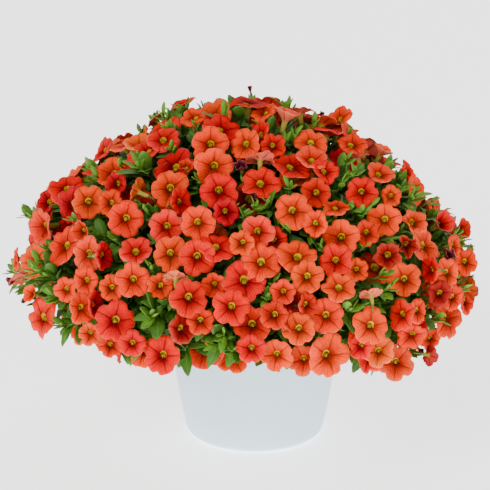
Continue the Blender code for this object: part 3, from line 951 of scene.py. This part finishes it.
def build_bloom(name, flower, dice, petals, plain):
    """One flower on its pedicel. Its finishes are 0 the petals', 1 the stem's and 2 the pollen's."""
    roll = dice.uniform(-0.6, 0.6)
    bm = bmesh.new()
    share = spun(bm, limb_profile(flower.openness), LOBES * COLUMNS_PER_LOBE)
    bmesh.ops.recalc_face_normals(bm, faces=bm.faces)
    top = max(bm.faces, key=lambda face: math.hypot(*face.calc_center_median().xy))
    if top.normal.z < 0:
        bmesh.ops.reverse_faces(bm, faces=bm.faces)
    shape_limb(bm, share, flower.openness, dice, flower.crumple)
    front = set(bm.faces)
    bmesh.ops.solidify(bm, geom=list(bm.faces), thickness=PETAL_THICK)
    map_petals(bm, share, front)
    add_sepals(bm, dice)
    pollen = bmesh.ops.create_icosphere(
        bm, subdivisions=1, radius=POLLEN_RADIUS,
        matrix=Matrix.Translation((0.0, 0.0, POLLEN_HEIGHT)) @ Matrix.Diagonal((1, 1, 0.45, 1)),
    )
    give_finish(pollen, 2)
    knob = bmesh.ops.create_cone(
        bm, cap_ends=True, segments=6, radius1=0.9, radius2=1.5, depth=2.6,
        matrix=Matrix.Translation((0, 0, -TUBE_LENGTH - 1.8)),
    )
    give_finish(knob, 1)
    matrix = placed(flower.place, flower.facing, roll, flower.size * MM)
    bmesh.ops.transform(bm, verts=bm.verts, matrix=matrix)
    foot = matrix @ Vector((0, 0, -TUBE_LENGTH - 2.6))
    span = (foot - flower.end).length
    inward = (flower.end - HEART).normalized()
    near_foot = foot - flower.facing * span * 0.4
    route = bezier(foot, near_foot, flower.end + inward * span * 0.35, flower.end, 5)
    tube(bm, route, STALK_RADIUS * flower.size, STALK_RADIUS, 1)
    tint = bm.verts.layers.float.new("tint")
    shade = dice.random()
    for vert in bm.verts:
        vert[tint] = shade
    finishes = [petals[flower.colour], plain["stem"], plain["pollen"]]
    return piece(name, bm, finishes, flower.replaced)


# ---- Where the CAD flowers, shoots and stems are ----


def points_of(node):
    return [vert.co.copy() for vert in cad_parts[node].data.vertices]


def end_near(points, seed, reach):
    near = [point for point in points if (point - seed).length < reach]
    return sum(near, Vector()) / len(near)


def cad_bloom(number):
    """Place of the face's middle, facing, size, and pedicel end of a CAD flower."""
    points = points_of(f"flower_{number:02d}")
    middle = sum(points, Vector()) / len(points)
    end = min(points, key=lambda point: (point - HEART).length)
    end = end_near(points, end, 0.0022)
    facing = (middle - end).normalized()
    size = max((point - end).dot(facing) for point in points) / CAD_BLOOM_LENGTH
    return end + facing * CAD_BLOOM_DEPTH * size, facing, size, end


def fork_ends():
    """The outer end of each bare main stem, where its shoots begin."""
    ends = []
    for number in range(1, CAD_STEMS + 1):
        points = points_of(f"main_stem_{number:02d}")
        far = max(points, key=lambda point: math.hypot(point.x, point.y) + point.z)
        ends.append(end_near(points, far, 0.004))
    return ends


# ---- Where the blooms stand ----


def with_stalk(place, facing, size, openness, colour, dice, crumple=0.0):
    """A bloom whose pedicel meets its shoot behind the face, in towards the plant's heart."""
    back = (facing * 0.45 + outward(place) * 0.75).normalized()
    end = place - back * (BLOOM_DEPTH + dice.uniform(-2, 4)) * MM * size
    return Bloom(place, facing, size, openness, colour, end, crumple=crumple)


def front_blooms(taken, dice):
    """The blooms that the photograph shows, less those where a CAD flower already stands.

    Where two overlap, each takes the depth that keeps it clearest of the others.
    """
    found = []
    stood = []
    for x, y, across, right, up, letter, openness in FRONT_BLOOMS:
        if any(math.hypot(x - tx, y - ty) < OWN_FLOWER_REACH for tx, ty in taken):
            continue
        place = on_mound(x, y)
        depth = (place - CAMERA_PLACE).dot(LOOK)
        shown = 0.62 + 0.38 * min(1.0, max(0.0, openness - 0.3) / 0.6)
        size = across / 2 * depth / FOCAL_PIXELS / (BLOOM_RADIUS * MM) / shown
        radius = across / 2
        near = [
            spot for spot, reach, px, py in stood if math.hypot(x - px, y - py) < (radius + reach) * 0.9
        ]
        steps = [dice.uniform(-0.002, 0.002) + step for step in (0.0, -0.003, 0.003, -0.006, 0.006)]
        spots = [place + pixel_ray(x, y) * step for step in steps]
        clear = [min([abs((spot - other).dot(LOOK)) for other in near] + [0.006]) for spot in spots]
        place = spots[clear.index(max(clear))]
        stood.append((place, radius, x, y))
        size = min(size, LARGEST_BLOOM)
        found.append((place, turned_to(place, right, up), size, openness, COLOURS[letter]))
    return [with_stalk(*row, dice) for row in found]


def scattered(count, apart, keep_off, dice, low_rise=-0.62, apart_in_view=None):
    """Places spread over the mound's skin, each clear of the others and of keep_off.

    They stand where the photograph doesn't show the skin face on, or anywhere if apart_in_view is given.
    """
    found = []
    for _ in range(count * 60):
        if len(found) == count:
            break
        azimuth = dice.uniform(-math.pi, math.pi)
        rise = math.asin(dice.uniform(math.sin(low_rise), 1.0))
        place = mound_skin(azimuth, rise)
        if place.z < SKIRT_LOW or (shown_share(place) > FULLY_SHOWN and apart_in_view is None):
            continue
        wanted = (apart_in_view or APART_IN_VIEW) if in_photograph(place) else apart
        if all((place - other).length > wanted for other in keep_off + found):
            found.append(place)
    return found


def side_blooms(keep_off, dice):
    """Blooms on the sides and the back, which the photograph doesn't show."""
    found = []
    for place in scattered(SIDE_BLOOMS, SIDE_BLOOMS_APART, keep_off, dice):
        out = outward(place)
        place = tucked(place - out * 0.005, SIDE_MARGIN)
        out.z *= 0.8 if place.z > 0.14 else 0.5
        facing = random_lean(out.normalized(), 0.55, dice)
        size = dice.uniform(0.92, 1.14)
        openness = dice.choice(SIDE_OPENNESS)
        found.append(with_stalk(place, facing, size, openness, dice.choice(SIDE_COLOURS), dice))
    return found


def deep_blooms(dice):
    """Blooms in the shade behind the others, clear of the leafy shoots that the photograph shows."""
    found = []
    for place in scattered(DEEP_BLOOMS, DEEP_BLOOMS_APART, [], dice, apart_in_view=DEEP_APART_IN_VIEW):
        px, py = pixel_of(place)
        near = any(math.hypot(px - x, py - y) < SPRAY_REACH for x, y, length in FRONT_SPRAYS)
        if near and in_photograph(place):
            continue
        facing = random_lean(outward(place) + to_camera(place) * 0.6, 0.5, dice)
        place = tucked(place - outward(place) * dice.uniform(0.013, 0.022), DEEP_MARGIN)
        size = dice.uniform(0.85, 1.02)
        colour = dice.choice(DEEP_COLOURS)
        found.append(with_stalk(place, facing, size, dice.choice((1.0, 0.9)), colour, dice))
    return found


def spent_blooms(dice):
    """Crumpled blooms and dark buds, where the photograph shows them."""
    found = []
    for x, y, length, right, up, letter, openness in FRONT_SPENT:
        place = on_mound(x, y)
        facing = turned_to(place, right, up)
        size = length * MM_PER_PIXEL / SPENT_LENGTH
        found.append(with_stalk(place, facing, size, openness, COLOURS[letter], dice, crumple=0.9))
    return found


# ---- Shoots ----


def bloom_faces(blooms):
    """A search tree of the blooms' faces, with each one's facing and radius."""
    tree = KDTree(len(blooms))
    for index, flower in enumerate(blooms):
        tree.insert(flower.place, index)
    tree.balance()
    rows = [(flower.facing, flower.size * BLOOM_RADIUS * MM * flower.openness) for flower in blooms]
    return {"tree": tree, "blooms": rows}


def shoot_route(forks, tip, out):
    """A shoot's way to its tip from the likeliest fork: near, on the same tier and on the same side."""
    upper_forks, upper_tips = 0.157, 0.19

    def cost(fork):
        apart = (tip - fork).length
        apart += 0.03 if (fork.z > upper_forks) != (tip.z > upper_tips) else 0.0
        return apart + max(0.0, -Vector(fork.xy).dot(Vector(tip.xy))) * 3

    start = min(forks, key=cost)
    bend = start.lerp(tip, 0.35) + Vector((0, 0, 0.010))
    return bezier(start, bend, tip - out * 0.022, tip, 9)


def spray_tips(dice):
    """Tip, way and length of the leafy shoots between the blooms."""
    tips = []
    for x, y, length in FRONT_SPRAYS:
        place = on_mound(x, y)
        way = random_lean(outward(place) + Vector((0, 0, 0.25)), 0.25, dice)
        tips.append((place, way, length * METRES_PER_PIXEL))
    for place in scattered(SIDE_SPRAYS, SIDE_SPRAYS_APART, [], dice, low_rise=-0.7):
        way = random_lean(outward(place) + Vector((0, 0, 0.2)), 0.35, dice)
        place = tucked(place + way * dice.uniform(-0.008, 0.008), SPRAY_MARGIN)
        tips.append((place, way, dice.uniform(0.018, 0.026)))
    return tips


def grow_plant(petals, plain, leaves):
    """Every bloom, and the shoots and leaves of each part of the mound as one piece."""
    dice = random.Random(SEED)
    own = [cad_bloom(number) for number in range(1, CAD_FLOWERS + 1)]
    ends = [end for place, facing, size, end in own]
    seen = [pixel_of(place) for place, facing, size, end in own if in_photograph(place)]
    blooms = [
        Bloom(place, facing, size, 1.0, dice.choice(SIDE_COLOURS), end, (f"flower_{number:02d}",))
        for number, (place, facing, size, end) in enumerate(own, 1)
    ]
    blooms += front_blooms(seen, dice)
    keep_off = [row[0] for row in own] + [on_mound(row[0], row[1]) for row in FRONT_BLOOMS]
    blooms += side_blooms(keep_off, dice)
    blooms += deep_blooms(dice)
    blooms += spent_blooms(dice)

    def nearest_part(tip):
        return min(range(len(ends)), key=lambda part: (ends[part] - tip).length)

    shoots = []
    for number, flower in enumerate(blooms, 1):
        build_bloom(f"bloom_{number:03d}", flower, dice, petals, plain)
        if flower.replaced:
            shoots.append((flower.end, flower.facing, number - 1))
        else:
            out = random_lean(outward(flower.place), 0.2, dice)
            shoots.append((flower.end, out, nearest_part(flower.end)))

    forks = fork_ends()
    shapes = leaf_shapes()
    faces = bloom_faces(blooms)
    sprays = spray_tips(dice)
    foliage = [bmesh.new() for _ in own]
    stem = len(LEAVES)
    for tip, out, part in shoots:
        route = shoot_route(forks, tip, out)
        tube(foliage[part], route, SHOOT_RADIUS, SHOOT_TIP_RADIUS, stem)
        clothe(foliage[part], shapes, route, dice, SHOOT_LEAVES, dice.uniform(0.9, 1.1), faces)
    for tip, out, length in sprays:
        part = nearest_part(tip)
        route = shoot_route(forks, tip, out)
        while len(route) > 5 and hides_bloom(route[-1], faces):
            route.pop()
        tube(foliage[part], route, SHOOT_RADIUS, SPRAY_TIP_RADIUS, stem)
        clothe(foliage[part], shapes, route, dice, SPRAY_LEAVES, length / SPRAY_LENGTH, faces)
    finishes = [leaves[age] for age in LEAVES] + [plain["stem"]]
    for number, bm in enumerate(foliage, 1):
        piece(f"foliage_{number:02d}", bm, finishes, (f"leafy_shoot_{number:02d}",))


# ---- Pot and potting mix ----


def pot_profile():
    """The pot's half section, from the middle of its foot up the wall and down inside."""
    profile = [(0.0, 0.0), (0.0470, 0.0)]
    lean = math.atan2(POT_FLARE, POT_HEIGHT)
    middle = POT_FOOT_RADIUS - POT_FOOT_ROUND
    for step in range(8):
        angle = -math.pi / 2 + (math.pi / 2 - lean) * step / 7
        radius = middle + POT_FOOT_ROUND * math.cos(angle)
        profile.append((radius, POT_FOOT_ROUND + POT_FOOT_ROUND * math.sin(angle)))
    for height in (0.03, 0.06, 0.09, 0.1205):
        profile.append((POT_FOOT_RADIUS + POT_FLARE * height / POT_HEIGHT, height))
    return profile + POT_RIM_AND_INSIDE


def build_pot(plain):
    """The pot's wall, floor, foot and rolled rim, with the drainage holes cut through the floor."""
    bm = bmesh.new()
    spun(bm, pot_profile(), 96)
    bmesh.ops.remove_doubles(bm, verts=bm.verts, dist=1e-6)
    bmesh.ops.recalc_face_normals(bm, faces=bm.faces)
    pot = piece("pot_shell", bm, [plain["plastic"]], ("pot",))
    bm = bmesh.new()
    for index in range(DRAIN_HOLES):
        angle = math.tau * index / DRAIN_HOLES
        place = (DRAIN_RING_RADIUS * math.cos(angle), DRAIN_RING_RADIUS * math.sin(angle), 0.0)
        bmesh.ops.create_cone(
            bm, cap_ends=True, segments=24, radius1=DRAIN_HOLE_RADIUS, radius2=DRAIN_HOLE_RADIUS,
            depth=0.02, matrix=Matrix.Translation(place),
        )
    drill = in_scene("drain_drill", mesh_of("drain_drill", bm))
    cut = pot.modifiers.new("drain_holes", "BOOLEAN")
    cut.object = drill
    graph = bpy.context.evaluated_depsgraph_get()
    finished = bpy.data.meshes.new_from_object(pot.evaluated_get(graph))
    pot.modifiers.clear()
    pot.data = finished
    pot.data.shade_smooth()
    pot.data.set_sharp_from_angle(angle=math.radians(35))
    bpy.data.objects.remove(drill)


def build_soil(plain):
    """Potting mix with a lumpy top, round the crown's socket."""
    bm = bmesh.new()
    spun(bm, SOIL_TOP, 72)
    bmesh.ops.subdivide_edges(bm, edges=bm.edges, cuts=1, use_grid_fill=True)
    for vert in bm.verts:
        lump = noise.noise(vert.co * 160) * 0.0016 + noise.noise(vert.co * 420) * 0.0009
        if 0.012 < math.hypot(vert.co.x, vert.co.y) < 0.070:
            vert.co.z += lump
    rings = [edge for edge in bm.edges if edge.is_boundary]
    outer = [edge for edge in rings if math.hypot(*edge.verts[0].co.xy) > 0.04]
    inner = [edge for edge in rings if edge not in outer]
    for ring, radius, height in ((outer, 0.0556, 0.0075), (inner, 0.0112, 0.0880)):
        wall = bmesh.ops.extrude_edge_only(bm, edges=ring)["geom"]
        for vert in [item for item in wall if isinstance(item, bmesh.types.BMVert)]:
            arm = Vector(vert.co.xy).normalized() * radius
            vert.co = (arm.x, arm.y, height)
        edges = [item for item in wall if isinstance(item, bmesh.types.BMEdge) and item.is_boundary]
        bmesh.ops.holes_fill(bm, edges=edges)
    bmesh.ops.recalc_face_normals(bm, faces=bm.faces)
    piece("peat", bm, [plain["soil"]], ("potting_soil",))


def dress_cad(plain):
    """The crown and the bare stems keep their CAD shapes and get their skins."""
    for name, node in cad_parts.items():
        if name == "root_crown" or name.startswith("main_stem"):
            node.data.materials.clear()
            node.data.materials.append(plain["bark"] if name == "root_crown" else plain["stem"])


# ---- Stage ----


def build_camera():
    data = bpy.data.cameras.new("camera")
    data.sensor_width = SENSOR_WIDTH
    data.lens = FOCAL_PIXELS * SENSOR_WIDTH / IMAGE_PIXELS
    data.clip_end = 60.0
    camera = in_scene("camera", data)
    camera.location = CAMERA_PLACE
    camera.rotation_euler = (math.pi / 2 - CAMERA_TILT, 0.0, 0.0)
    bpy.context.scene.camera = camera


def build_floor():
    """A pale floor that glows a little, so that it stays near white under the plant."""
    bm = bmesh.new()
    bmesh.ops.create_circle(bm, cap_ends=True, segments=96, radius=14.0)
    floor = in_scene("studio_floor", mesh_of("studio_floor", bm))
    paint = bpy.data.materials.new("studio_paint")
    paint.use_nodes = True
    shader = paint.node_tree.nodes["Principled BSDF"]
    shader.inputs["Base Color"].default_value = (0.94, 0.94, 0.94, 1.0)
    shader.inputs["Roughness"].default_value = 0.9
    shader.inputs["Emission Color"].default_value = (1.0, 1.0, 1.0, 1.0)
    shader.inputs["Emission Strength"].default_value = 2.0
    floor.data.materials.append(paint)


def build_light():
    """A white sky and three soft lamps: name, place, side in metres, watts and colour."""
    world = bpy.data.worlds.new("studio_sky")
    bpy.context.scene.world = world
    world.use_nodes = True
    sky = world.node_tree.nodes["Background"]
    sky.inputs["Color"].default_value = (1.0, 1.0, 1.0, 1.0)
    sky.inputs["Strength"].default_value = 0.42

    plant_middle = Vector((0, 0, 0.16))
    lamps = (
        ("key_window", (-1.3, -1.9, 1.9), 1.3, 64.0, (1.0, 0.985, 0.96)),
        ("front_fill", (1.4, -2.2, 0.9), 1.8, 21.0, (0.97, 0.985, 1.0)),
        ("back_glow", (0.6, 1.8, 1.7), 1.6, 18.0, (1.0, 1.0, 1.0)),
    )
    for name, place, side, power, colour in lamps:
        data = bpy.data.lights.new(name, "AREA")
        data.size = side
        data.energy = power
        data.color = colour
        lamp = in_scene(name, data)
        lamp.location = place
        lamp.rotation_euler = (plant_middle - Vector(place)).to_track_quat("-Z", "Y").to_euler()


plain_skins = plain_finishes()
build_camera()
build_floor()
build_light()
build_pot(plain_skins)
build_soil(plain_skins)
dress_cad(plain_skins)
grow_plant(petal_finishes(), plain_skins, leaf_finishes())
